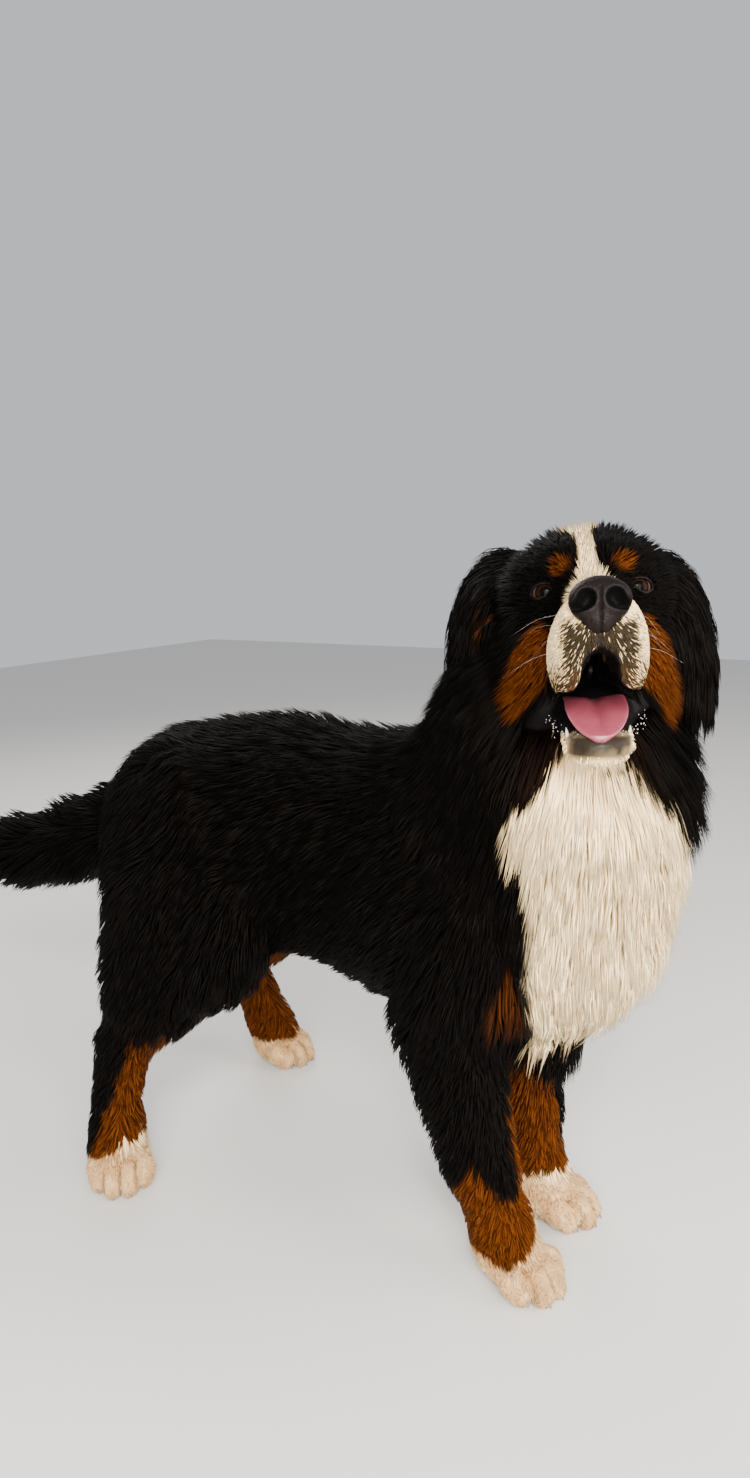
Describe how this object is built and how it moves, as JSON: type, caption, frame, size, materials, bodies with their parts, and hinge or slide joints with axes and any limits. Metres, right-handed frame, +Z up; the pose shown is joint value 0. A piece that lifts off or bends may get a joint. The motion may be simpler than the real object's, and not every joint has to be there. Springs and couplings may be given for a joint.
{
  "type": "bernese mountain dog",
  "caption": "Standing adult Bernese mountain dog, a still life-size model with its head turned to its right and mouth open.",
  "frame": {"origin": "on the floor, below the middle of the dog's bounding box", "axes": "+Z up, +X from the tail to the chest, +Y to the dog's left"},
  "size_m": [1.1948, 0.482, 0.8669],
  "materials": {
    "coat": "deep black coat of long, slightly wavy hair with a brown sheen",
    "rust_coat": "short rust-brown hair, black along the back of the hock",
    "white_coat": "short cream-white hair",
    "tongue": "moist pink flesh",
    "nose": "moist, pebbled, dark brown-grey nose leather",
    "eyes": "wet, dark brown iris under a clear cornea"
  },
  "bodies": {
    "root": {"torso": "coat", "head": "coat", "neck": "coat", "tail": "coat", "ear_right": "coat", "ear_left": "coat", "foreleg_right": "coat", "foreleg_left": "coat", "thigh_right": "coat", "thigh_left": "coat", "hock_right": "rust_coat", "hock_left": "rust_coat", "lower_jaw": "white_coat", "forepaw_right": "white_coat", "forepaw_left": "white_coat", "hind_paw_right": "white_coat", "hind_paw_left": "white_coat", "tongue": "tongue", "nose": "nose", "eye_right": "eyes", "eye_left": "eyes"}
  },
  "joints": []
}
